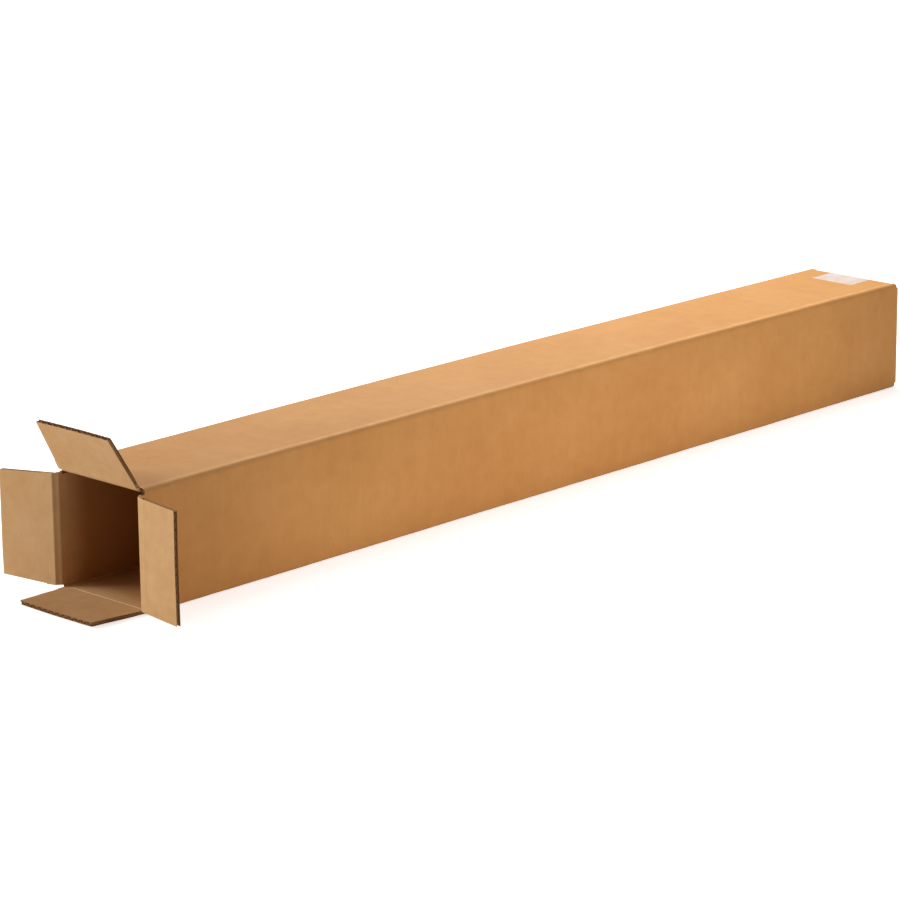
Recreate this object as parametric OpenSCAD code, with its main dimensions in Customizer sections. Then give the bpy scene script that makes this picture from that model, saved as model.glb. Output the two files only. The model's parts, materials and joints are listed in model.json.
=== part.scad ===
// Tall corrugated carton lying on its side, with its mouth open and its far end taped shut.
// X runs along the carton: the mouth faces -X and the closed end faces +X.
// The origin is the middle of the face that it lies on.

/* [Carton] */
// Inside width, between the left and right walls
inside_w = 101.6; // [80:0.1:160]
// Inside height, between the bottom and top walls
inside_h = 101.6; // [80:0.1:160]
// Inside length, between the inner pairs of closed flaps
inside_l = 1016; // [300:1:1500]

/* [Corrugated board] */
// Thickness of the whole board
board_t = 3.6; // [3.2:0.1:5]
// Thickness of each flat liner
liner_t = 0.3; // [0.2:0.05:0.5]
// Thickness of the wavy sheet between the liners
medium_t = 0.25; // [0.15:0.05:0.35]
// Spacing of the flutes
flute_pitch = 7.6; // [6:0.1:10]
// Outside radius of a fold
fold_r = 3; // [1:0.1:3]
// Inside radius of a long fold
crease_r = 0.6; // [0.2:0.1:1.5]

/* [Flaps] */
// Width of the slot between two neighbouring flaps
slot_w = 6.5; // [6:0.1:16]
// How far the slots are cut past the outer faces of the closed inner flaps
slot_past = 0.6; // [0.2:0.1:4]
// Gap where two closed flaps meet
seam_gap = 0.8; // [0.4:0.1:4]
// Taken off each side of an inner flap at its free edge, so that it tucks in easily
inner_taper = 4; // [0:0.5:10]
// Gap between the inner and the outer pair of closed flaps
layer_gap = 0.3; // [0.2:0.05:1]
// Distance of a flap's hinge line from the board's outer face
hinge_out = 0.15; // [0.1:0.05:0.3]
// Clearance between the two slopes of a score when its flap is closed
score_gap = 0.3; // [0.2:0.05:0.5]
// Length of flap beside its score that is crushed solid
crush_l = 2; // [1:0.5:6]

/* [Flap angles: 0 closed, 90 straight out, 180 flat outwards, 270 folded back] */
// Top flap
top_open = 152; // [0:1:268]
// Bottom flap
bottom_open = 90; // [0:1:268]
// Left flap, seen facing the mouth
left_open = 163; // [0:1:268]
// Right flap, seen facing the mouth
right_open = 170; // [0:1:268]

/* [Glue tab] */
// Width of the tab, from the fold that it hangs on
tab_w = 35; // [20:1:60]
// How far the tab stops short of the slots
tab_short = 12; // [4:1:30]

/* [Sealing tape] */
// Width of the tape
tape_w = 50; // [24:1:72]
// Thickness of the tape
tape_t = 0.1; // [0.05:0.05:0.2]
// Length of each end, over the top wall and under the bottom wall
tape_leg = 36; // [20:1:80]
// How far the tape lies off the middle, towards the left wall
tape_shift = 2; // [-8:0.5:8]

/* [Hidden] */
$fn = 48;

kraft = "#c8965c";
kraft_inside = "#d0a070";
clear_tape = "#e6d2bc";

outer_w = inside_w + 2 * board_t;
outer_h = inside_h + 2 * board_t;
half_w = outer_w / 2;
half_h = outer_h / 2;

// The inner flaps hang on the top and bottom walls and close first.
// The outer flaps hang on the left and right walls and close over them.
inner_flap_w = inside_w + board_t - slot_w;
outer_flap_w = inside_h + board_t - slot_w;
inner_face_x = inside_l / 2 + board_t;
outer_face_x = inner_face_x + layer_gap + board_t;
slot_x = inner_face_x - slot_past;

// The outer flaps have straight sides, which the tape lies over
outer_taper = 0;

// Along the outer face, from a hinge line to the board on either side of it
score_set = hinge_out + score_gap / sqrt(2);

// Half the height of the wave in the medium, and the share of a flute that stays open
wave = (board_t - 2 * liner_t - medium_t) / 2;
flute_open = 0.85;
flute_steps = 8;

// Length by which joined boards run into each other, and cutters run past a face
lap = 1;

// Turns about X that bring what is drawn on the top wall to each wall
on_top = 0;
on_right = 90;
on_bottom = 180;
on_left = -90;

// The fold at the closed end that the tape runs over, and where the tape leaves it
tape_fold = [inner_face_x - fold_r, half_h - fold_r];
tape_edge = [outer_face_x - tape_t, outer_flap_w / 2] - tape_fold;
tape_off = atan2(tape_edge.y, tape_edge.x) + acos((fold_r - tape_t) / norm(tape_edge));
tape_steps = 6;

// Extrudes a section drawn in Y and Z along X
module along_x(length) {
  rotate([90, 0, 90])
    linear_extrude(length)
      children();
}

// Extrudes a profile drawn in X and Z across Y, to both sides of the middle
module across(width) {
  rotate([90, 0, 0])
    linear_extrude(width, center = true)
      children();
}

// Brings what is drawn on the top wall, about the carton's middle line, to another wall
module on_wall(turn) {
  translate([0, 0, half_h])
    rotate([turn, 0, 0])
      children();
}

// What a round fold leaves out of a square corner, from the centre of the fold
module fold_waste(beyond) {
  difference() {
    square([fold_r + lap, fold_r + beyond]);
    circle(fold_r);
  }
}

// Rectangle on the middle of its bottom edge, with round corners
module round_box(w, h, r) {
  translate([-w / 2 + r, 0])
    square([w - 2 * r, h]);
  translate([-w / 2, r])
    square([w, h - 2 * r]);
  for (y = [r - w / 2, w / 2 - r], z = [r, h - r]) {
    translate([y, z])
      circle(r);
  }
}

// Section of the four walls. At the top left, the top wall's cut edge lies on the fold of the tab.
module wall_section() {
  difference() {
    union() {
      round_box(outer_w, outer_h, fold_r);
      translate([half_w - fold_r, outer_h - fold_r])
        square(fold_r);
    }
    translate([0, board_t])
      round_box(inside_w, inside_h, crease_r);
    translate([half_w - fold_r, outer_h - board_t - fold_r])
      fold_waste(0);
  }
}

// Tab that folds in from the left wall and is glued under the top wall
module glue_tab() {
  tab_l = 2 * (slot_x - tab_short);
  translate([-tab_l / 2, half_w - tab_w, outer_h - 2 * board_t])
    cube([tab_l, tab_w - board_t + lap, board_t + lap]);
}

// Where a wall ends at the mouth, beside the score of a flap that closes at face_x
function score_x(face_x) = score_set - face_x - hinge_out;

// End of a wall at the mouth, up to its flap's score
module mouth_end(half, face_x, width) {
  across(width)
    translate([score_x(face_x), half - board_t])
      square([lap - slot_x - score_x(face_x), board_t]);
}

// What the slope of a score takes off the end of a wall, over the carton's inside
module score_waste(half, face_x, inside) {
  across(inside)
    translate([score_x(face_x), half])
      polygon([[-lap, lap], [board_t + lap, -board_t - lap], [-lap, -board_t - lap]]);
}

// Outline of a flap, from its root to its free edge, narrower there by the taper on each side
module flap_outline(root, free_edge, width, taper) {
  polygon([
    [root, -width / 2],
    [free_edge, taper - width / 2],
    [free_edge, width / 2 - taper],
    [root, width / 2]
  ]);
}

// End of a wall at the closed end, folded over into a closed flap
module closed_end(half, face_x, width, taper) {
  across(width)
    difference() {
      translate([slot_x - lap, half - board_t])
        square([face_x - slot_x + lap, board_t]);
      translate([face_x - fold_r, half - fold_r])
        fold_waste(lap);
    }
  translate([face_x, 0, 0])
    rotate([0, -90, 0])
      linear_extrude(board_t)
        flap_outline(half - fold_r, seam_gap / 2, width, taper);
}

// Line of the tape from the top wall over the end to the bottom wall, at a depth under the outer faces
function tape_half(depth) = concat(
  [[inner_face_x - tape_leg, half_h - depth]],
  [
    for (i = [0:tape_steps])
      let (a = 90 - (90 - tape_off) * i / tape_steps)
        tape_fold + (fold_r - depth) * [cos(a), sin(a)]
  ],
  [[outer_face_x - depth, outer_flap_w / 2]]
);
function backwards(list) = [for (i = [len(list) - 1:-1:0]) list[i]];
function tape_line(depth) = concat(
  tape_half(depth),
  [for (p = backwards(tape_half(depth))) [p.x, -p.y]]
);

// Strip along the tape's line, between two depths
module tape_strip(outer_depth, inner_depth) {
  translate([0, tape_shift, half_h])
    across(tape_w)
      polygon(concat(tape_line(outer_depth), backwards(tape_line(inner_depth))));
}

// Open channel of one flute, under the outer liner
module flute() {
  steps = [for (i = [0:flute_steps]) flute_open * flute_pitch * (i / flute_steps - 0.5)];
  curve = [for (s = steps) [s, -liner_t - wave * (1 + cos(360 * s / flute_pitch))]];
  polygon(concat(curve, [[steps[flute_steps], -liner_t], [steps[0], -liner_t]]));
}

// Flutes across a board's width, under the outer liner and, half a pitch on, over the inner liner
module flutes(width) {
  n = ceil(width / 2 / flute_pitch);
  for (k = [-n:n]) {
    translate([k * flute_pitch, 0])
      flute();
    translate([(k + 0.5) * flute_pitch, -board_t])
      mirror([0, 1])
        flute();
  }
}

// Flap at the mouth, drawn straight out with its hinge line on Y, then swung to its angle.
// Its flutes end open at the free edge and are crushed shut beside the score.
module mouth_flap(half, face_x, width, taper, open) {
  reach = half + hinge_out - seam_gap / 2;
  flute_l = reach - score_set - board_t - crush_l;
  translate([-face_x - hinge_out, 0, half + hinge_out])
    rotate([0, open - 90, 0])
      translate([0, 0, -hinge_out])
        difference() {
          intersection() {
            across(width)
              polygon([
                [-score_set, 0],
                [-reach, 0],
                [-reach, -board_t],
                [-score_set - board_t, -board_t]
              ]);
            translate([0, 0, -board_t])
              linear_extrude(board_t)
                flap_outline(-score_set, -reach, width, taper);
          }
          translate([-reach - lap, 0, 0])
            along_x(flute_l + lap)
              flutes(width);
        }
}

module carton_body() {
  color(kraft)
    difference() {
      union() {
        translate([-slot_x, 0, 0])
          along_x(2 * slot_x)
            wall_section();
        glue_tab();
        for (turn = [on_top, on_bottom]) {
          on_wall(turn) mouth_end(half_h, inner_face_x, inner_flap_w);
          on_wall(turn) closed_end(half_h, inner_face_x, inner_flap_w, inner_taper);
        }
        for (turn = [on_left, on_right]) {
          on_wall(turn) mouth_end(half_w, outer_face_x, outer_flap_w);
          on_wall(turn) closed_end(half_w, outer_face_x, outer_flap_w, outer_taper);
        }
      }
      for (turn = [on_top, on_bottom]) {
        on_wall(turn) score_waste(half_h, inner_face_x, inside_w);
      }
      for (turn = [on_left, on_right]) {
        on_wall(turn) score_waste(half_w, outer_face_x, inside_h);
      }
      // The tape is pulled tight, so it lies flush in the outer liner
      tape_strip(-lap, tape_t);
    }
}

module top_flap() {
  color(kraft_inside)
    on_wall(on_top)
      mouth_flap(half_h, inner_face_x, inner_flap_w, inner_taper, top_open);
}

module bottom_flap() {
  color(kraft_inside)
    on_wall(on_bottom)
      mouth_flap(half_h, inner_face_x, inner_flap_w, inner_taper, bottom_open);
}

module left_flap() {
  color(kraft_inside)
    on_wall(on_left)
      mouth_flap(half_w, outer_face_x, outer_flap_w, outer_taper, left_open);
}

module right_flap() {
  color(kraft_inside)
    on_wall(on_right)
      mouth_flap(half_w, outer_face_x, outer_flap_w, outer_taper, right_open);
}

module sealing_tape() {
  color(clear_tape)
    tape_strip(0, tape_t);
}

carton_body();
top_flap();
bottom_flap();
left_flap();
right_flap();
sealing_tape();
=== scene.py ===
import json
import math

import bmesh
import bpy
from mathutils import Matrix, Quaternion, Vector, noise


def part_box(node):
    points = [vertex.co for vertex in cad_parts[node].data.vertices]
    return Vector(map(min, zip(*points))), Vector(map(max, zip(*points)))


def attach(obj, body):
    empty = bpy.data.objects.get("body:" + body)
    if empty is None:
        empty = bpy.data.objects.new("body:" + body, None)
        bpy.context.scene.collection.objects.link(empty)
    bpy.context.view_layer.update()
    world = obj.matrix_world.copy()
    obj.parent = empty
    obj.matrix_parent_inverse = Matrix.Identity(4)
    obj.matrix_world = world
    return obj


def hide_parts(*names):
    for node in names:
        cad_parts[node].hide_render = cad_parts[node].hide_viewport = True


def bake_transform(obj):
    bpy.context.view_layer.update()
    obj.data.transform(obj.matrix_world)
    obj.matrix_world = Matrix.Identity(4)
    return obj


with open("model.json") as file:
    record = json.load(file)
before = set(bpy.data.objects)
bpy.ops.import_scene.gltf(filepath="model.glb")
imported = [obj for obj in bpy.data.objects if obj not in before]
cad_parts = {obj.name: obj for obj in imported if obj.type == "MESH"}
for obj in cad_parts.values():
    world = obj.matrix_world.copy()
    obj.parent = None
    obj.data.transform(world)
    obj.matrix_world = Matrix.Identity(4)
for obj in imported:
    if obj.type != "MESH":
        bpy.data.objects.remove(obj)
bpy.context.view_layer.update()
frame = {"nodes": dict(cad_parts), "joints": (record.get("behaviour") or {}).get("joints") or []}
mm = 0.001
quarterTurn = math.pi / 2
sharpAngle = math.radians(35)  # shading breaks where faces meet at more than this

scene = bpy.context.scene
scene.view_settings.view_transform = "Standard"

# single-wall corrugated board, as in the CAD model
board = {
    "thick": 3.6 * mm,
    "liner": 0.3 * mm,
    "medium": 0.25 * mm,
    "flutePitch": 7.6 * mm,
    "hingeOut": 0.15 * mm,  # hinge line above the outer face
    "scoreSet": 0.362 * mm,  # hinge line to the board on either side
}


# helpers

def paint(code):
    # sRGB hex to the linear colour that a shader takes
    parts = [int(code[i:i + 2], 16) / 255 for i in (1, 3, 5)]
    linear = [c / 12.92 if c <= 0.04045 else ((c + 0.055) / 1.055) ** 2.4 for c in parts]
    return (*linear, 1.0)


def addNode(tree, kind, settings, inputs):
    made = tree.nodes.new("ShaderNode" + kind)
    for name, value in settings.items():
        setattr(made, name, value)
    for name, value in inputs.items():
        if isinstance(value, bpy.types.NodeSocket):
            tree.links.new(value, made.inputs[name])
        else:
            made.inputs[name].default_value = value
    return made


def newMaterial(name):
    material = bpy.data.materials.new(name)
    material.use_nodes = True
    material.node_tree.nodes.clear()
    return material, material.node_tree


def smoothStep(value, low, high):
    t = min(1, max(0, (value - low) / (high - low)))
    return t * t * (3 - 2 * t)


def ripple(x, y, size, seed):
    # smooth noise over a sheet, with bumps of about that size in its two directions
    return noise.noise(Vector((x / size[0], y / size[1], seed)))


def extrudeRow(bm, edges, move):
    # extrudes a row of edges and returns the new row, with its vertices put where move says
    made = bmesh.ops.extrude_edge_only(bm, edges=edges)["geom"]
    verts = {v for v in made if isinstance(v, bmesh.types.BMVert)}
    for v in verts:
        v.co = move(v.co)
    return [e for e in made if isinstance(e, bmesh.types.BMEdge) and set(e.verts) <= verts]


def thicken(bm, faces, vector):
    # keeps the faces and extrudes a copy of them, so that the sheet becomes a closed board
    made = bmesh.ops.extrude_face_region(bm, geom=faces, use_keep_orig=True)["geom"]
    verts = [v for v in made if isinstance(v, bmesh.types.BMVert)]
    bmesh.ops.translate(bm, vec=vector, verts=verts)


def toObject(bm, name, materials):
    bmesh.ops.recalc_face_normals(bm, faces=bm.faces[:])
    mesh = bpy.data.meshes.new(name)
    bm.to_mesh(mesh)
    bm.free()
    for material in materials:
        mesh.materials.append(material)
    mesh.shade_smooth()
    mesh.set_sharp_from_angle(angle=sharpAngle)
    piece = bpy.data.objects.new(name, mesh)
    scene.collection.objects.link(piece)
    return piece


# materials

# what the two faces of the board have in common
linerGrain = {
    "toneLow": 0.34, "toneHigh": 0.66,  # the part of the noise that the colours spread over
    "fleckStretch": 2, "fleckCore": 0.08, "fleckEdge": 0.2,
    "scuffAndHighlightLow": 0.35, "scuffAndHighlightHigh": 0.65, "scuffAndHighlightLeast": 0.35,
    "ior": 1.5, "specular": 0.25,
}


def kraftLiner(name, look):
    # Kraft linerboard, pressed on rollers: matt and warm, cloudy where the fibres lie thicker,
    # with faint streaks round the carton, dark flecks, and scuffed pale along the folds, partly a painted
    # highlight.
    material, tree = newMaterial(name)
    place = addNode(tree, "Attribute", {"attribute_name": "sheetPlace"}, {}).outputs["Vector"]
    wearAndHighlight = addNode(tree, "Attribute", {"attribute_name": "foldWearAndHighlight"}, {}).outputs["Fac"]
    cloud = addNode(tree, "TexNoise", {}, {
        "Vector": place, "Scale": 1 / look["cloudSize"], "Detail": 2, "Roughness": 0.5})
    blotch = addNode(tree, "TexNoise", {}, {
        "Vector": place, "Scale": 1 / look["blotchSize"], "Detail": 3, "Roughness": 0.55})
    streakPlace = addNode(tree, "VectorMath", {"operation": "MULTIPLY"}, {
        0: place, 1: (1 / look["streakWidth"], 1 / look["streakLength"], 0)})
    streak = addNode(tree, "TexNoise", {}, {
        "Vector": streakPlace.outputs[0], "Scale": 1, "Detail": 2, "Roughness": 0.6})
    slow = addNode(tree, "Mix", {"data_type": "FLOAT"}, {
        0: look["blotchShare"], 2: cloud.outputs[0], 3: blotch.outputs[0]})
    tone = addNode(tree, "Mix", {"data_type": "FLOAT"}, {
        0: look["streakShare"], 2: slow.outputs[0], 3: streak.outputs[0]})
    ramp = addNode(tree, "ValToRGB", {}, {0: tone.outputs[0]})
    ramp.color_ramp.elements[0].position = linerGrain["toneLow"]
    ramp.color_ramp.elements[0].color = paint(look["dark"])
    ramp.color_ramp.elements[1].position = linerGrain["toneHigh"]
    ramp.color_ramp.elements[1].color = paint(look["light"])
    ramp.color_ramp.elements.new(0.5).color = paint(look["base"])

    # painted shade: the inside is darker beyond the mouth, for the deep shade that is seen there
    along = addNode(tree, "SeparateXYZ", {}, {0: place}).outputs
    ground = ramp.outputs[0]
    if "shade" in look:
        shadeMask = addNode(tree, "MapRange", {"interpolation_type": "SMOOTHSTEP"}, {
            0: along[0], 1: look["shadeFrom"], 2: look["shadeFull"], 3: 0, 4: look["shadeShare"]})
        shaded = addNode(tree, "Mix", {"data_type": "RGBA"}, {
            0: shadeMask.outputs[0], 6: ground, 7: paint(look["shade"])})
        ground = shaded.outputs[2]

    # flecks are longer round the carton, as fibres are; drawn 1 mm wide so that they show
    fleckPlace = addNode(tree, "VectorMath", {"operation": "MULTIPLY"}, {
        0: place, 1: (1 / look["fleckSpacing"], 1 / (linerGrain["fleckStretch"] * look["fleckSpacing"]), 0)})
    fleck = addNode(tree, "TexVoronoi", {"voronoi_dimensions": "2D"}, {
        "Vector": fleckPlace.outputs[0], "Scale": 1, "Randomness": 1})
    fleckMask = addNode(tree, "MapRange", {}, {
        0: fleck.outputs["Distance"], 1: linerGrain["fleckCore"], 2: linerGrain["fleckEdge"],
        3: look["fleckShare"], 4: 0})
    flecked = addNode(tree, "Mix", {"data_type": "RGBA"}, {
        0: fleckMask.outputs[0], 6: ground, 7: paint(look["fleck"])})

    # scuffs and a painted highlight on the folds come and go along them
    scuffAndHighlightNoise = addNode(tree, "TexNoise", {}, {
        "Vector": place, "Scale": 1 / look["scuffAndHighlightSize"], "Detail": 3, "Roughness": 0.6})
    scuffAndHighlightPatch = addNode(tree, "MapRange", {}, {
        0: scuffAndHighlightNoise.outputs[0], 1: linerGrain["scuffAndHighlightLow"], 2: linerGrain["scuffAndHighlightHigh"],
        3: linerGrain["scuffAndHighlightLeast"], 4: 1})
    scuffAndHighlightMask = addNode(tree, "Math", {"operation": "MULTIPLY"}, {0: wearAndHighlight, 1: scuffAndHighlightPatch.outputs[0]})
    scuffAndHighlightShare = addNode(tree, "Math", {"operation": "MULTIPLY"}, {
        0: scuffAndHighlightMask.outputs[0], 1: look["scuffAndHighlightShare"]})
    scuffedAndHighlit = addNode(tree, "Mix", {"data_type": "RGBA"}, {
        0: scuffAndHighlightShare.outputs[0], 6: flecked.outputs[2], 7: paint(look["scuffAndHighlight"])})

    # the flutes show through as a slight washboard, and fibres make the fine tooth
    fluteTurn = addNode(tree, "Math", {"operation": "MULTIPLY"}, {
        0: along[1], 1: 2 * math.pi / board["flutePitch"]})
    fluteWave = addNode(tree, "Math", {"operation": "COSINE"}, {0: fluteTurn.outputs[0]})
    tooth = addNode(tree, "TexNoise", {}, {
        "Vector": place, "Scale": 1 / look["toothSize"], "Detail": 3, "Roughness": 0.6})
    height = addNode(tree, "Math", {"operation": "MULTIPLY_ADD"}, {
        0: fluteWave.outputs[0], 1: look["washboard"], 2: tooth.outputs[0]})
    bump = addNode(tree, "Bump", {}, {
        "Strength": 1, "Distance": look["toothHeight"], "Height": height.outputs[0]})
    shader = addNode(tree, "BsdfPrincipled", {}, {
        "Base Color": scuffedAndHighlit.outputs[2], "Roughness": look["roughness"], "IOR": linerGrain["ior"],
        "Specular IOR Level": linerGrain["specular"], "Normal": bump.outputs[0]})
    addNode(tree, "OutputMaterial", {}, {0: shader.outputs[0]})
    return material


outerLook = {
    "base": "#cd9353", "dark": "#c78c4c", "light": "#d39a5b",
    "cloudSize": 110 * mm, "blotchSize": 16 * mm, "blotchShare": 0.4,
    "streakWidth": 10 * mm, "streakLength": 60 * mm, "streakShare": 0.16,
    "fleck": "#a5713a", "fleckSpacing": 9 * mm, "fleckShare": 0.08,
    # pale scuffs on the folds, also a painted highlight on their lit side
    "scuffAndHighlight": "#f4ba78", "scuffAndHighlightSize": 14 * mm, "scuffAndHighlightShare": 0.45,
    "toothSize": 1.5 * mm, "toothHeight": 0.06 * mm, "washboard": 0.2, "roughness": 0.7,
}
innerLook = {
    "base": "#d4a672", "dark": "#cd9d68", "light": "#dbaf7d",
    "cloudSize": 60 * mm, "blotchSize": 12 * mm, "blotchShare": 0.45,
    "streakWidth": 8 * mm, "streakLength": 60 * mm, "streakShare": 0.16,
    "fleck": "#b18350", "fleckSpacing": 10 * mm, "fleckShare": 0.08,
    "scuffAndHighlight": "#dcb281", "scuffAndHighlightSize": 10 * mm, "scuffAndHighlightShare": 0.4,
    # painted shade, deepening from the mouth into the carton
    "shade": "#a8733f", "shadeFrom": -514 * mm, "shadeFull": -480 * mm, "shadeShare": 0.9,
    "toothSize": 1.5 * mm, "toothHeight": 0.06 * mm, "washboard": 0.3, "roughness": 0.85,
}
kraftOutside = kraftLiner("kraftLinerOutside", outerLook)
kraftInside = kraftLiner("kraftLinerInside", innerLook)

fluteLook = {
    "base": "#b98d60", "dark": "#8a6540", "fibreSize": 2 * mm, "fibreHeight": 0.1 * mm, "fibreBump": 0.6,
    "roughness": 0.95, "specular": 0.2,
}


def fluteMedium(look):
    # Recycled fluting paper: coarser and browner than the liners, quite matt
    material, tree = newMaterial("flutingPaper")
    place = addNode(tree, "Attribute", {"attribute_name": "sheetPlace"}, {}).outputs["Vector"]
    fibre = addNode(tree, "TexNoise", {}, {
        "Vector": place, "Scale": 1 / look["fibreSize"], "Detail": 3, "Roughness": 0.6})
    colour = addNode(tree, "Mix", {"data_type": "RGBA"}, {
        0: fibre.outputs[0], 6: paint(look["dark"]), 7: paint(look["base"])})
    bump = addNode(tree, "Bump", {}, {
        "Strength": look["fibreBump"], "Distance": look["fibreHeight"], "Height": fibre.outputs[0]})
    shader = addNode(tree, "BsdfPrincipled", {}, {
        "Base Color": colour.outputs[2], "Roughness": look["roughness"],
        "Specular IOR Level": look["specular"], "Normal": bump.outputs[0]})
    addNode(tree, "OutputMaterial", {}, {0: shader.outputs[0]})
    return material


flutingPaper = fluteMedium(fluteLook)

cutLook = {
    # the hollows between the papers are painted in shade
    "liner": "#c0925f", "medium": "#a87848", "hollowShade": "#7d5a38", "drawnWidth": 0.4 * mm,
    "roughness": 0.95, "specular": 0.15,
}


def cutBoardEdge(look):
    # Cut edge of the board: two liners with the wave of the medium between them, and painted shade in the
    # hollows.
    # The papers are drawn a little thicker than they are so that they show.
    material, tree = newMaterial("cutBoardEdge")
    place = addNode(tree, "Attribute", {"attribute_name": "sheetPlace"}, {}).outputs["Vector"]
    parts = addNode(tree, "SeparateXYZ", {}, {0: place}).outputs
    half = board["thick"] / 2
    fluteTurn = addNode(tree, "Math", {"operation": "MULTIPLY"}, {
        0: parts[1], 1: 2 * math.pi / board["flutePitch"]})
    wave = addNode(tree, "Math", {"operation": "COSINE"}, {0: fluteTurn.outputs[0]})
    line = addNode(tree, "Math", {"operation": "MULTIPLY_ADD"}, {
        0: wave.outputs[0], 1: half - board["liner"] - board["medium"] / 2, 2: half})
    off = addNode(tree, "Math", {"operation": "SUBTRACT"}, {0: parts[2], 1: line.outputs[0]})
    distance = addNode(tree, "Math", {"operation": "ABSOLUTE"}, {0: off.outputs[0]})
    onMedium = addNode(tree, "MapRange", {}, {
        0: distance.outputs[0], 1: look["drawnWidth"] * 0.6, 2: look["drawnWidth"], 3: 1, 4: 0})
    fromMiddle = addNode(tree, "Math", {"operation": "SUBTRACT"}, {0: parts[2], 1: half})
    spread = addNode(tree, "Math", {"operation": "ABSOLUTE"}, {0: fromMiddle.outputs[0]})
    onLiner = addNode(tree, "MapRange", {}, {
        0: spread.outputs[0], 1: half - look["drawnWidth"] * 1.2, 2: half - look["drawnWidth"] * 0.8,
        3: 0, 4: 1})
    inner = addNode(tree, "Mix", {"data_type": "RGBA"}, {
        0: onMedium.outputs[0], 6: paint(look["hollowShade"]), 7: paint(look["medium"])})
    colour = addNode(tree, "Mix", {"data_type": "RGBA"}, {
        0: onLiner.outputs[0], 6: inner.outputs[2], 7: paint(look["liner"])})
    shader = addNode(tree, "BsdfPrincipled", {}, {
        "Base Color": colour.outputs[2], "Roughness": look["roughness"],
        "Specular IOR Level": look["specular"]})
    addNode(tree, "OutputMaterial", {}, {0: shader.outputs[0]})
    return material


boardEdge = cutBoardEdge(cutLook)

tapeLook = {
    "film": "#e6cdbb", "bubble": "#ecd4c3", "bubbleSize": 12 * mm,
    "bubbleLow": 0.4, "bubbleHigh": 0.62, "alphaLow": 0.8, "alphaHigh": 0.87,
    "rippleSize": 20 * mm, "rippleHeight": 0.06 * mm, "roughness": 0.22, "ior": 1.49,
}


def packingTape(look):
    # Clear film on acrylic glue: glossy, milky where it hasn't wetted the paper, board showing through
    material, tree = newMaterial("clearPackingTape")
    place = addNode(tree, "TexCoord", {}, {}).outputs["Object"]
    bubble = addNode(tree, "TexNoise", {}, {
        "Vector": place, "Scale": 1 / look["bubbleSize"], "Detail": 4, "Roughness": 0.6})
    patch = addNode(tree, "MapRange", {}, {
        0: bubble.outputs[0], 1: look["bubbleLow"], 2: look["bubbleHigh"], 3: 0, 4: 1})
    colour = addNode(tree, "Mix", {"data_type": "RGBA"}, {
        0: patch.outputs[0], 6: paint(look["film"]), 7: paint(look["bubble"])})
    cover = addNode(tree, "MapRange", {}, {
        0: patch.outputs[0], 1: 0, 2: 1, 3: look["alphaLow"], 4: look["alphaHigh"]})
    sag = addNode(tree, "TexNoise", {}, {"Vector": place, "Scale": 1 / look["rippleSize"], "Detail": 1})
    bump = addNode(tree, "Bump", {}, {
        "Strength": 1, "Distance": look["rippleHeight"], "Height": sag.outputs[0]})
    shader = addNode(tree, "BsdfPrincipled", {}, {
        "Base Color": colour.outputs[2], "Alpha": cover.outputs[0], "Roughness": look["roughness"],
        "IOR": look["ior"], "Normal": bump.outputs[0]})
    addNode(tree, "OutputMaterial", {}, {0: shader.outputs[0]})
    return material


clearTape = packingTape(tapeLook)
print("materials made")


# carton body: one blank, cut flat, given its thickness, then folded

bodyLow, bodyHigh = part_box("carton_body")
carton = {
    "width": bodyHigh.y - bodyLow.y,
    "height": bodyHigh.z - bodyLow.z,
    "foldRadius": 3.7 * mm,  # outside of a fold; its inside stays just open
    "slotEnd": 511 * mm,  # from the middle to the end of the slots
    "tabWidth": 35 * mm,
    "tabEnd": 499 * mm,
    "tabDrop": 0.1 * mm,  # glue under the top wall
    "innerFace": 511.6 * mm,  # outer face of the inner closed flaps
    "outerFace": 515.5 * mm,
    "seamGap": 0.8 * mm,
    "foldSteps": 5,
    "wallStep": 6.5 * mm,
    "lengthStep": 8.5 * mm,
    "mouthRow": 0.4 * mm,  # first row of the walls, behind the slope under their scores
    "weld": 0.01 * mm,
    "bow": 1.5 * mm,  # the top wall arches a little over its length
    "waver": 0.5 * mm,
    "waverSize": (150 * mm, 45 * mm),
    "waverSeed": 3.1,
    "wrinkle": 0.3 * mm,  # only where a fold is worn
    "wrinkleSize": (11 * mm, 8 * mm),
    "wrinkleSeed": 7.7,
    "fadeFrom": 70 * mm,  # from the ends of the slots: the wavering fades out between these two
    "fadeTo": 20 * mm,
    "wearAndHighlightReach": 5 * mm,
    "wearAndHighlightFlat": 1 * mm,
    # where each fold is rubbed most and painted with a highlight, from the start of its turn: on the flat
    # of the top or bottom wall beside it, and on the turn itself at the glue tab
    "wearAndHighlightAt": {
        "top_flap": -1.5 * mm, "right_flap": 7.3 * mm, "bottom_flap": -1.5 * mm, "left_flap": 1.7 * mm,
    },
    "lidWearAndHighlightAt": 1.7 * mm,
    "wearAndHighlightStops": (2.5 * mm, 5 * mm),  # rows beside a fold that carry the wear and painted highlight
    "scoreRecess": 2.2 * mm,  # board kept back under the liner that runs over a score
}
mouthWard = Vector((-1, 0, 0))


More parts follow.
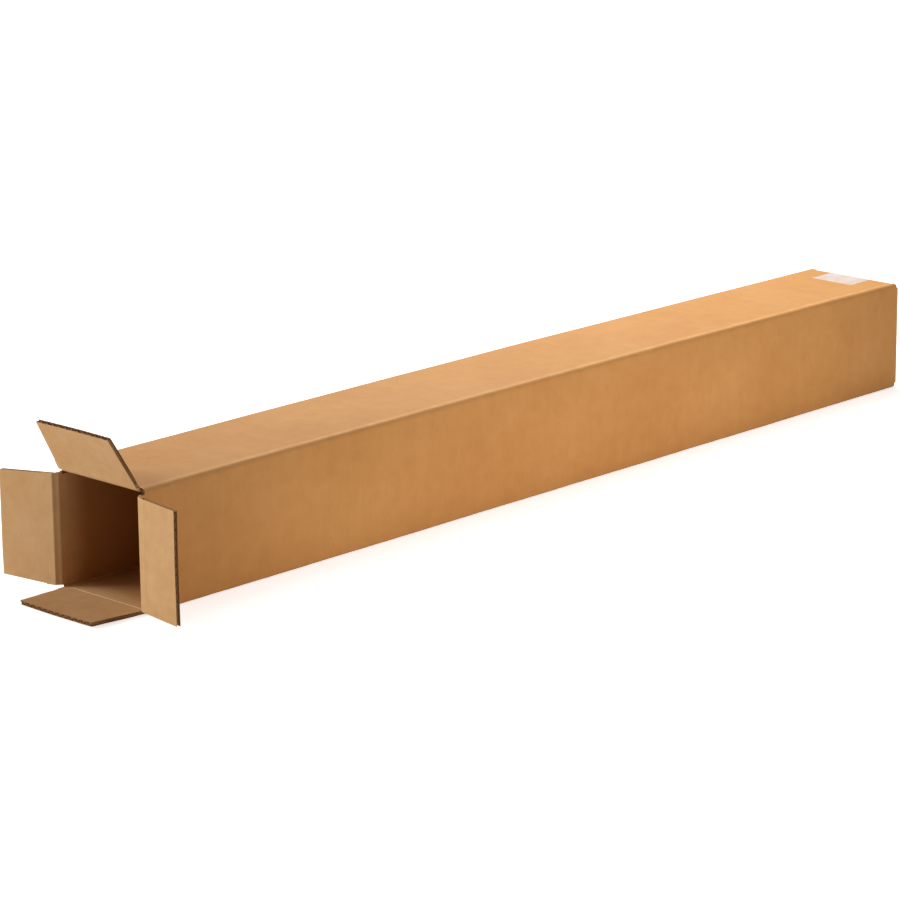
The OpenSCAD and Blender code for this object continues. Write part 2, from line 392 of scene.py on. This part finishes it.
def readFlap(joint):
    # a flap's place from its hinge, and its size from its solid; the low limit is the closed flap
    pivot, axis = Vector(joint["pos_m"]), Vector(joint["axis"])
    opened = math.radians(-joint["range_deg"][0])
    wallOut = axis.cross(mouthWard)
    along = mouthWard * math.sin(opened) - wallOut * math.cos(opened)
    outward = wallOut * math.sin(opened) + mouthWard * math.cos(opened)
    spots = [v.co - pivot for v in frame["nodes"][joint["child"]].data.vertices]
    reach = max(p.dot(along) for p in spots)
    tip = [p for p in spots if p.dot(along) > reach - mm]
    return {
        "body": joint["child"], "pivot": pivot, "axis": axis, "wallOut": wallOut, "opened": opened,
        "along": along, "outward": outward, "reach": reach,
        "width": 2 * max(abs(p.dot(axis)) for p in spots),
        "tipWidth": 2 * max(abs(p.dot(axis)) for p in tip),
    }


flaps = {joint["child"]: readFlap(joint) for joint in frame["joints"]}
outerFlaps = [name for name, flap in flaps.items() if abs(flap["wallOut"].y) > 0.5]


def girthPanels():
    # straight panels round the carton, from the top wall's cut edge to the glue tab, with a fold after each
    w, h, r = carton["width"], carton["height"], carton["foldRadius"]
    lengths = [
        ("top_flap", w - r), ("right_flap", h - 2 * r), ("bottom_flap", w - 2 * r),
        ("left_flap", h - board["thick"] - 2 * r), ("tab", carton["tabWidth"] - r),
    ]
    panels, start, heading, girth = [], Vector((w / 2, h)), Vector((-1, 0)), 0
    for name, length in lengths:
        out = Vector((heading.y, -heading.x))
        panels.append({
            "name": name, "start": start, "heading": heading, "out": out, "girth": girth, "length": length})
        start = start + (heading - out) * r + heading * length
        heading = Vector((-heading.y, heading.x))
        girth += length + quarterTurn * r
    return panels


panels = girthPanels()
tabStart = panels[-1]["girth"]


def panelAt(girth):
    return [p for p in panels if p["girth"] <= girth + 1e-9][-1]


def flapMiddle(name):
    # where the middle of a flap lies on the girth
    panel = next(p for p in panels if p["name"] == name)
    middle = Vector((0, carton["height"] / 2))
    return panel["girth"] + (middle - panel["start"]).dot(panel["heading"])


def girthStops():
    stops = set()
    for panel in panels:
        steps = math.ceil(panel["length"] / carton["wallStep"])
        stops |= {panel["girth"] + panel["length"] * i / steps for i in range(steps + 1)}
        if panel["name"] in flaps:
            half = flaps[panel["name"]]["width"] / 2
            stops |= {flapMiddle(panel["name"]) - half, flapMiddle(panel["name"]) + half}
            turn = quarterTurn * carton["foldRadius"]
            folded = panel["girth"] + panel["length"]
            stops |= {folded + turn * i / carton["foldSteps"] for i in range(1, carton["foldSteps"])}
            for beside in carton["wearAndHighlightStops"]:
                stops |= {folded - beside, folded + turn + beside}
    return sorted(stops)


def lengthStops():
    # from just behind the scores of the mouth to the first fold of the closed end
    steps = math.ceil(2 * carton["tabEnd"] / carton["lengthStep"])
    inside = [carton["tabEnd"] * (2 * i / steps - 1) for i in range(steps + 1)]
    first = -carton["slotEnd"] + board["thick"] + carton["mouthRow"]
    return [first] + inside + [carton["innerFace"] - carton["foldRadius"]]


def closedFace(panel):
    # the inner flaps hang on the top and bottom walls and close first
    return carton["innerFace"] if abs(panel["out"].y) > 0.5 else carton["outerFace"]


def foldWearAndHighlight(x, girth, lid):
    # 1 where a fold is rubbed most and painted with a highlight, falling to 0 a few millimetres from there
    away = min(abs(girth - p["girth"] - p["length"] - carton["wearAndHighlightAt"][p["name"]]) for p in panels[:-1])
    if lid:
        bendStart = closedFace(panelAt(girth)) - carton["foldRadius"]
        away = min(away, abs(x - bendStart - carton["lidWearAndHighlightAt"]))
    return 1 - smoothStep(away, carton["wearAndHighlightFlat"], carton["wearAndHighlightReach"])


def foldPoint(x, girth, depth, lid, wearAndHighlight):
    # flat blank to folded carton
    r = carton["foldRadius"]
    panel = panelAt(girth)
    run = girth - panel["girth"]
    straight = run if lid else min(run, panel["length"])  # a flap runs past the ends of its wall
    turn = (run - straight) / r
    out = panel["out"] * math.cos(turn) + panel["heading"] * math.sin(turn)
    edge = panel["start"] + panel["heading"] * straight
    spot = edge + (out - panel["out"]) * r
    down = depth
    face = closedFace(panel)
    past = x - (face - r)
    if lid and past > 0:  # a closed flap, folded down over the end
        bend = min(past / r, quarterTurn)
        down = r - (r - depth) * math.cos(bend) + max(0, past - quarterTurn * r)
        x = face - r + (r - depth) * math.sin(bend)
    end = carton["slotEnd"]
    fade = 1 - smoothStep(abs(x), end - carton["fadeFrom"], end - carton["fadeTo"])
    if girth < tabStart:
        rise = carton["waver"] * ripple(x, girth, carton["waverSize"], carton["waverSeed"])
        rise += carton["wrinkle"] * wearAndHighlight * ripple(x, girth, carton["wrinkleSize"], carton["wrinkleSeed"])
        down -= rise * fade
    else:
        down += carton["tabDrop"]
    spot = spot - out * down
    arch = carton["bow"] * (1 - min(1, abs(x) / end) ** 2) * spot.y / carton["height"]
    return Vector((x, spot.x, spot.y + arch))


def wallPart(edges, name):
    # the edges of a row that lie within the width of a wall's flap
    middle, half = flapMiddle(name), flaps[name]["width"] / 2 + 1e-6
    return [e for e in edges if all(abs(v.co.y - middle) < half for v in e.verts)]


def cutLid(bm, edges, name, lid):
    # a closed flap, straight out from its wall, narrower towards its free edge
    panel = next(p for p in panels if p["name"] == name)
    middle, r, steps = flapMiddle(name), carton["foldRadius"], carton["foldSteps"]
    bendStart = closedFace(panel) - r
    firstStep = 0 if name in outerFlaps else 1  # the walls already reach the inner flaps' fold
    stops = [bendStart + quarterTurn * r * i / steps for i in range(firstStep, steps + 1)]
    across = abs(panel["out"].dot(Vector((carton["width"], carton["height"]))))
    length = across / 2 - r - carton["seamGap"] / 2
    rows = math.ceil(length / carton["lengthStep"])
    stops += [bendStart + quarterTurn * r + length * i / rows for i in range(1, rows + 1)]
    narrow = 1 - (1 - flaps[name]["tipWidth"] / flaps[name]["width"]) / rows
    for x in stops:
        shrink = narrow if x > bendStart + quarterTurn * r + 1e-6 else 1
        edges = extrudeRow(bm, edges, lambda co: Vector((x, middle + (co.y - middle) * shrink, 0)))
        for v in {v for e in edges for v in e.verts}:
            v[lid] = 1


def cutBlank(bm, lid):
    # the flat sheet: X along the carton, Y round it
    verts = [bm.verts.new((-carton["slotEnd"], g, 0)) for g in girthStops()]
    mouthRow = [bm.edges.new(pair) for pair in zip(verts, verts[1:])]
    for name, flap in flaps.items():
        scoreX = flap["pivot"].x + board["scoreSet"]
        strip = extrudeRow(bm, wallPart(mouthRow, name), lambda co: Vector((scoreX, co.y, 0)))
        for v in {v for e in strip for v in e.verts}:
            v[lid] = 1
    row = mouthRow
    for x in lengthStops():
        row = extrudeRow(bm, row, lambda co: Vector((x, co.y, 0)))
    inner = {name: wallPart(row, name) for name in flaps if name not in outerFlaps}
    taken = {e for edges in inner.values() for e in edges}
    for name, edges in inner.items():
        cutLid(bm, edges, name, lid)
    row = extrudeRow(bm, [e for e in row if e not in taken], lambda co: Vector((carton["slotEnd"], co.y, 0)))
    for name in outerFlaps:
        cutLid(bm, wallPart(row, name), name, lid)
    middles = {f: f.calc_center_median() for f in bm.faces}
    past = [f for f, c in middles.items() if c.y > tabStart and abs(c.x) > carton["tabEnd"]]
    bmesh.ops.delete(bm, geom=past, context="FACES")


def makeCarton():
    bm = bmesh.new()
    place = bm.verts.layers.float_vector.new("sheetPlace")
    wearAndHighlight = bm.verts.layers.float.new("foldWearAndHighlight")
    lid = bm.verts.layers.int.new("lid")
    cutBlank(bm, lid)
    thick = board["thick"]
    thicken(bm, bm.faces[:], (0, 0, thick))
    for face in bm.faces:
        depths = [v.co.z for v in face.verts]
        face.material_index = 0 if max(depths) < thick / 2 else 1 if min(depths) > thick / 2 else 2
    for v in bm.verts:
        x, girth, depth = v.co
        v[place] = v.co
        v[wearAndHighlight] = foldWearAndHighlight(x, girth, v[lid])
        panel = panelAt(girth)
        if panel["name"] in flaps and (v[lid] or girth < panel["girth"] + panel["length"]):
            # the end of the wall slopes back from the score
            x = max(x, flaps[panel["name"]]["pivot"].x + board["scoreSet"] + depth
                    + carton["scoreRecess"] * min(1, depth / thick))
        v.co = foldPoint(x, girth, depth, v[lid], v[wearAndHighlight])
    bmesh.ops.remove_doubles(bm, verts=bm.verts[:], dist=carton["weld"])
    return toObject(bm, "cartonBody", [kraftOutside, kraftInside, boardEdge])


cartonBody = makeCarton()
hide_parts("carton_body")
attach(cartonBody, "carton")
print("carton folded:", len(cartonBody.data.polygons), "faces")


# mouth flaps: two liners with the wavy medium between them, open at the cut edges

flapMake = {
    "crush": 2 * mm,  # pressed solid beside the score
    "crushLap": 0.1 * mm,  # how far that board runs into the flutes, and keeps back from the sides
    "stepsAcross": 24,
    "stepsAlong": 12,
    "stepsPerFlute": 12,
    "fluteStepsAlong": 4,
    # the inner flaps warp inwards and the outer ones outwards, so that they still close over each other
    "curl": {"top_flap": -0.8 * mm, "bottom_flap": -0.6 * mm, "left_flap": 1.0 * mm, "right_flap": 0.8 * mm},
    "cup": 0.5 * mm,
    "waver": 0.2 * mm,
    "waverSize": (40 * mm, 25 * mm),
    "warpFrom": 0.1,  # shares of the flap's length between which the warp comes in
    "warpFull": 0.5,
    "ragged": 0.2 * mm,  # unevenness of the cut
    "raggedSize": (6 * mm, 1 * mm),
    "tipTrim": {"left_flap": 5.7 * mm},  # narrower at its free edge than its solid
    "fluteDepth": 1.1 * mm,
}


def flapSpot(flap, a, s, depth):
    # a along the hinge, s from the hinge line towards the free edge, depth under the outer face
    length = flap["reach"] - board["scoreSet"]
    out = (s - board["scoreSet"]) / length
    side = 2 * a / flap["width"]
    curl = flapMake["curl"][flap["body"]]
    seed = flap["pivot"].x * 100 + flap["wallOut"].y * 5  # one for the inner pair, two for the outer
    warp = smoothStep(out, flapMake["warpFrom"], flapMake["warpFull"]) * (
        curl * out * out
        + math.copysign(flapMake["cup"], curl) * side * side * out
        + flapMake["waver"] * ripple(a, s, flapMake["waverSize"], seed))
    down = board["hingeOut"] + depth - warp
    return flap["pivot"] + flap["axis"] * a + flap["along"] * s - flap["outward"] * down


def flapLayer(bm, flap, layer):
    # one sheet of the board as a flat grid in a, s and depth, given its thickness
    known = set(bm.faces)
    verts = bmesh.ops.create_grid(
        bm, x_segments=layer["across"], y_segments=layer["along"], size=0.5)["verts"]
    faces = list({f for v in verts for f in v.link_faces})
    near, far, root = layer["near"], layer["far"], board["scoreSet"]
    tipWidth = flap["tipWidth"] - flapMake["tipTrim"].get(flap["body"], 0)
    seed = near * 1000 + 2.2  # no two layers are cut alike
    for v in verts:
        onFreeEdge = v.co.y > 0.499  # the grid runs from -0.5 to 0.5
        s = near + (far - near) * (v.co.y + 0.5)
        width = flap["width"] + (tipWidth - flap["width"]) * (s - root) / (flap["reach"] - root)
        a = v.co.x * (width - 2 * layer["inset"])
        if onFreeEdge and layer["inset"] == 0:
            s += flapMake["ragged"] * ripple(a, 0, flapMake["raggedSize"], seed)
        v.co = Vector((a, s, layer["top"] + layer["wave"] * math.cos(2 * math.pi * a / board["flutePitch"])))
    thicken(bm, faces, (0, 0, layer["thick"]))
    for f in set(bm.faces) - known:
        depths = [v.co.z for v in f.verts]
        f.material_index = 2
        if max(depths) < board["liner"] / 2:
            f.material_index = 0
        elif min(depths) > board["thick"] - board["liner"] / 2:
            f.material_index = 1


def makeFlap(flap):
    thick, liner, medium = board["thick"], board["liner"], board["medium"]
    score, reach = board["scoreSet"], flap["reach"]
    pressed = score + thick + flapMake["crush"]
    across, along = flapMake["stepsAcross"], flapMake["stepsAlong"]
    fluteDepth, fluteAlong, lap = flapMake["fluteDepth"], flapMake["fluteStepsAlong"], flapMake["crushLap"]
    waves = round(flap["width"] / board["flutePitch"] * flapMake["stepsPerFlute"])
    layers = [
        {"near": score, "far": reach, "top": 0, "thick": liner,
         "across": across, "along": along, "inset": 0, "wave": 0},
        {"near": score + thick + carton["scoreRecess"], "far": reach, "top": thick - liner, "thick": liner,
         "across": across, "along": along, "inset": 0, "wave": 0},
        {"near": pressed, "far": reach, "top": (thick - medium) / 2, "thick": medium,
         "across": waves, "along": fluteAlong, "inset": 0, "wave": (thick - medium) / 2 - liner},
        # the flutes are tunnels, drawn shallow so that light gets into them
        {"near": pressed, "far": reach - fluteDepth, "top": liner, "thick": thick - 2 * liner,
         "across": across, "along": fluteAlong, "inset": fluteDepth, "wave": 0},
        # the board crushed beside the score
        {"near": score, "far": pressed + lap, "top": liner / 2, "thick": thick - liner,
         "across": across, "along": 1, "inset": lap, "wave": 0},
    ]
    bm = bmesh.new()
    place = bm.verts.layers.float_vector.new("sheetPlace")
    for layer in layers:
        flapLayer(bm, flap, layer)
    middle = flapMiddle(flap["body"])
    for v in bm.verts:
        a, s, depth = v.co
        s = max(s, score + depth - liner)  # the end slopes back from the score
        v[place] = (flap["pivot"].x - s, middle + a, depth)
        v.co = flapSpot(flap, a, s, depth)
    name = flap["body"].replace("_flap", "FlapBoard")
    piece = toObject(bm, name, [kraftOutside, kraftInside, flutingPaper])
    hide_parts(flap["body"])
    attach(piece, flap["body"])


for flap in flaps.values():
    makeFlap(flap)
print("flaps made:", ", ".join(flaps))


# scored creases: the inner liner runs on from each wall into its flap, over crushed board

crease = {
    "lift": 0.05 * mm,
    "skin": 0.12 * mm,
    "over": 6 * mm,  # how far it lies on the wall and on the flap
    "bridge": 0.3 * mm,  # from the score to where it bends down into the crease
    "round": 1.4 * mm,  # length that takes part in that bend
    "valley": 2.3 * mm,  # from the hinge line to the bottom of the crease
    "softenings": 3,
    "stepsAcross": 24,
    # crushed board that fills the score under the liner, clear of the sloping ends of wall and flap
    "coreTop": 0.96,  # share of the way from the hinge line to the liner
    "coreRoot": 0.4 * mm,
    "coreInset": 0.1 * mm,  # at each side of the flap
    "wallSlope": math.radians(36),
    "flapSlope": math.radians(49),
}


def softened(line, times):
    # cuts the corners of a line, and keeps its ends
    for _ in range(times):
        cut = [line[0]]
        for before, after in zip(line, line[1:]):
            cut += [before.lerp(after, 0.25), before.lerp(after, 0.75)]
        line = cut + [line[-1]]
    return line


def makeCrease(flap):
    axis, pivot = flap["axis"], flap["pivot"]
    inward, under = -mouthWard, -flap["wallOut"]  # into the carton, and under the outer face
    bisector = Quaternion(axis, flap["opened"] / 2) @ (inward + under).normalized()

    def wallSide(run, depth):
        return inward * (board["scoreSet"] + run) + under * (board["hingeOut"] + depth)

    def flapSide(run, depth):
        return flap["along"] * (board["scoreSet"] + run) - flap["outward"] * (board["hingeOut"] + depth)

    thick = board["thick"]
    face = thick + crease["lift"]
    line = [
        wallSide(thick + crease["over"], face), wallSide(crease["bridge"] + crease["round"], face),
        wallSide(crease["bridge"], face), bisector * crease["valley"], flapSide(crease["bridge"], face),
        flapSide(crease["bridge"] + crease["round"], face), flapSide(thick + crease["over"], face),
    ]
    line = softened(line, crease["softenings"])

    bm = bmesh.new()
    place = bm.verts.layers.float_vector.new("sheetPlace")
    wearAndHighlight = bm.verts.layers.float.new("foldWearAndHighlight")
    half, steps = flap["width"] / 2, crease["stepsAcross"]
    verts = [bm.verts.new(pivot + axis * (half * (2 * i / steps - 1)) + line[0]) for i in range(steps + 1)]
    row = [bm.edges.new(pair) for pair in zip(verts, verts[1:])]
    for before, after in zip(line, line[1:]):
        row = extrudeRow(bm, row, lambda co: co + after - before)
    middle = flapMiddle(flap["body"])
    for v in bm.verts:
        across = (v.co - pivot).dot(axis)
        off = v.co - pivot - axis * across
        v[place] = (pivot.x + off.dot(inward - flap["along"]) / 2, middle + across, 0)
        v[wearAndHighlight] = 1 - smoothStep(off.length, thick, thick + crease["over"])
    bmesh.ops.recalc_face_normals(bm, faces=bm.faces[:])
    bmesh.ops.solidify(bm, geom=bm.faces[:], thickness=crease["skin"])

    spread = (quarterTurn + flap["opened"]) / 2  # from the bisector to the wall and to the flap
    turned = len(line) // 2
    core = [p for p in line[:turned] if p.angle(bisector) < spread - crease["wallSlope"]]
    core += [p for p in line[turned:] if p.angle(bisector) < spread - crease["flapSlope"]]
    end = pivot - axis * (half - crease["coreInset"])
    root = bm.verts.new(end + bisector * crease["coreRoot"])
    top = [bm.verts.new(end + p * crease["coreTop"]) for p in core]
    fan = [bm.faces.new((root, *pair)) for pair in zip(top, top[1:])]
    for v in [root, *top]:
        v[place] = (pivot.x, middle, 0)
    thicken(bm, fan, axis * 2 * (half - crease["coreInset"]))
    piece = toObject(bm, flap["body"].replace("_flap", "FlapCrease"), [kraftInside])
    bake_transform(piece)


for flap in flaps.values():
    makeCrease(flap)
print("creases made")


# sealing tape over the seam of the closed end

tapeLow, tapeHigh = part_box("sealing_tape")
tape = {
    "width": tapeHigh.y - tapeLow.y,
    "middle": (tapeHigh.y + tapeLow.y) / 2,
    "leg": 36 * mm,
    "lift": 0.12 * mm,
    "film": 0.06 * mm,
    "tooth": 1.6 * mm,  # saw-cut ends
    "toothDepth": 0.7 * mm,
    "cornerDrop": 0.4 * mm,  # from the outer flaps' edge to where the film lies flat on them
    "legSteps": 5,
    "bendSteps": 5,
    "seamSteps": 6,
}


def tapeLine():
    # half of the tape's line in X and Z, from the end of its leg to the middle of the seam
    r, lift = carton["foldRadius"], tape["lift"]
    centre = Vector((carton["innerFace"] - r, carton["height"] - r))
    corner = Vector((carton["outerFace"] + lift, carton["height"] / 2 + flaps["left_flap"]["width"] / 2))
    gap = corner - centre
    leave = math.atan2(gap.y, gap.x) + math.acos((r + lift) / gap.length)
    start = carton["innerFace"] - tape["leg"]
    legSteps, bendSteps, seamSteps = tape["legSteps"], tape["bendSteps"], tape["seamSteps"]
    leg = centre.x - start
    line = [Vector((start + leg * i / legSteps, carton["height"] + lift)) for i in range(legSteps)]
    for i in range(bendSteps + 1):
        a = quarterTurn + (leave - quarterTurn) * i / bendSteps
        line.append(centre + Vector((math.cos(a), math.sin(a))) * (r + lift))
    line.append(corner - Vector((0, tape["cornerDrop"])))
    middle = carton["height"] / 2
    fall = line[-1].y - middle
    line += [Vector((corner.x, middle + fall * (1 - i / seamSteps))) for i in range(1, seamSteps + 1)]
    return line


def makeTape():
    upper = tapeLine()
    lower = [Vector((p.x, carton["height"] - p.y)) for p in reversed(upper[:-1])]
    line = upper + lower
    bm = bmesh.new()
    steps = 2 * round(tape["width"] / tape["tooth"])
    verts = [bm.verts.new((line[0].x, tape["middle"] + tape["width"] * (i / steps - 0.5), line[0].y))
             for i in range(steps + 1)]
    row = [bm.edges.new(pair) for pair in zip(verts, verts[1:])]
    ends = list(verts)
    for before, after in zip(line, line[1:]):
        row = extrudeRow(bm, row, lambda co: co + Vector((after.x - before.x, 0, after.y - before.y)))
    ends += list({v for e in row for v in e.verts})
    for v in ends:
        tooth = round((v.co.y - tape["middle"]) / tape["width"] * steps + steps / 2)
        v.co.x -= tape["toothDepth"] * (tooth % 2)
    bmesh.ops.recalc_face_normals(bm, faces=bm.faces[:])
    bmesh.ops.solidify(bm, geom=bm.faces[:], thickness=-tape["film"])
    piece = toObject(bm, "sealingTape", [clearTape])
    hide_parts("sealing_tape")
    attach(piece, "carton")


makeTape()
print("tape laid")


# floor, light and camera

stage = {
    "floor": "#f4f4f4", "size": 30, "drop": 0.3 * mm,
    # the floor's own white, less near the object so that its shadow shows
    "nearGlow": 0.7, "farGlow": 0.97, "nearReach": 0.5, "farReach": 2.5,
}
white = (1, 1, 1, 1)


def seenDirectly(tree):
    # 1 for the camera's own rays and for those off gloss or through clear film, which see a white stage
    path = addNode(tree, "LightPath", {}, {}).outputs
    seen = addNode(tree, "Math", {"operation": "MAXIMUM"}, {
        0: path["Is Camera Ray"], 1: path["Is Glossy Ray"]})
    seenToo = addNode(tree, "Math", {"operation": "MAXIMUM"}, {
        0: seen.outputs[0], 1: path["Is Transmission Ray"]})
    return seenToo.outputs[0]


def makeFloor():
    bm = bmesh.new()
    bmesh.ops.create_grid(bm, x_segments=1, y_segments=1, size=stage["size"])
    bmesh.ops.translate(bm, vec=(0, 0, -stage["drop"]), verts=bm.verts[:])
    material, tree = newMaterial("paleFloor")
    diffuse = addNode(tree, "BsdfDiffuse", {}, {"Color": paint(stage["floor"])})
    spot = addNode(tree, "TexCoord", {}, {}).outputs["Object"]
    away = addNode(tree, "VectorMath", {"operation": "LENGTH"}, {0: spot})
    level = addNode(tree, "MapRange", {"interpolation_type": "SMOOTHSTEP"}, {
        0: away.outputs["Value"], 1: stage["nearReach"], 2: stage["farReach"],
        3: stage["nearGlow"], 4: stage["farGlow"]})
    glow = addNode(tree, "Emission", {}, {"Color": white, "Strength": level.outputs[0]})
    lit = addNode(tree, "AddShader", {}, {0: diffuse.outputs[0], 1: glow.outputs[0]})
    mixed = addNode(tree, "MixShader", {}, {0: seenDirectly(tree), 1: diffuse.outputs[0], 2: lit.outputs[0]})
    addNode(tree, "OutputMaterial", {}, {0: mixed.outputs[0]})
    floor = toObject(bm, "floor", [material])


makeFloor()

# metres and watts; the two in front are slightly warm
lamps = {
    "overhead": {
        "at": (0.5, 0.42, 1.0), "aim": (0.3, 0, 0.1), "size": (0.9, 0.9), "power": 14, "tint": "#ffffff",
    },
    "front": {
        "at": (-0.01, -0.9, 0.22), "aim": (0.07, 0, 0.06), "size": (0.5, 0.5), "power": 2.8,
        "tint": "#fff5eb",
    },
    "foot": {  # low strip, for the light that a white floor throws up the near wall
        "at": (0.015, -0.2, 0.02), "aim": (0.015, 0, 0.04), "size": (0.9, 0.02), "power": 0.16,
        "tint": "#fff5eb",
    },
    "mouthSide": {
        "at": (-1.7, 1.5, 0.9), "aim": (-0.52, 0, 0.06), "size": (0.8, 0.8), "power": 29, "tint": "#ffffff",
    },
    "mouthFill": {
        "at": (-2.2, 0.75, 0.35), "aim": (-0.52, 0, 0.06), "size": (0.8, 0.8), "power": 7, "tint": "#ffffff",
    },
}


def pointedAt(place, aim):
    # turn of a lamp or a camera that looks from one point to another
    return (Vector(aim) - Vector(place)).to_track_quat("-Z", "Y")


def makeLamps():
    for name, lamp in lamps.items():
        data = bpy.data.lights.new(name, "AREA")
        data.shape = "RECTANGLE"
        data.size, data.size_y = lamp["size"]
        data.energy = lamp["power"]
        data.color = paint(lamp["tint"])[:3]
        light = bpy.data.objects.new(name, data)
        light.location = lamp["at"]
        light.visible_camera = False
        light.rotation_mode = "QUATERNION"
        light.rotation_quaternion = pointedAt(lamp["at"], lamp["aim"])
        scene.collection.objects.link(light)


makeLamps()

sky = {"ambient": 0.08, "seen": 1}


def makeSky():
    world = bpy.data.worlds.new("studio")
    world.use_nodes = True
    tree = world.node_tree
    tree.nodes.clear()
    soft = addNode(tree, "Background", {}, {0: white, 1: sky["ambient"]})
    plain = addNode(tree, "Background", {}, {0: white, 1: sky["seen"]})
    mixed = addNode(tree, "MixShader", {}, {0: seenDirectly(tree), 1: soft.outputs[0], 2: plain.outputs[0]})
    addNode(tree, "OutputWorld", {}, {0: mixed.outputs[0]})
    scene.world = world


makeSky()

# fitted to the corners of the box; roll in degrees, lens and sensor in mm
view = {
    "at": (-2.4084, -2.2260, 0.9259), "aim": (-0.0916, 0, 0.0465), "roll": -0.55,
    "lens": 145.2, "sensor": 36, "clipEnd": 100,
}


def makeCamera():
    data = bpy.data.cameras.new("photoView")
    data.lens = view["lens"]
    data.sensor_width = view["sensor"]
    data.clip_end = view["clipEnd"]
    camera = bpy.data.objects.new("photoView", data)
    camera.location = view["at"]
    camera.rotation_mode = "QUATERNION"
    roll = Quaternion((0, 0, 1), math.radians(view["roll"]))
    camera.rotation_quaternion = pointedAt(view["at"], view["aim"]) @ roll
    scene.collection.objects.link(camera)
    scene.camera = camera


makeCamera()
print("stage set")

bpy.context.view_layer.update()
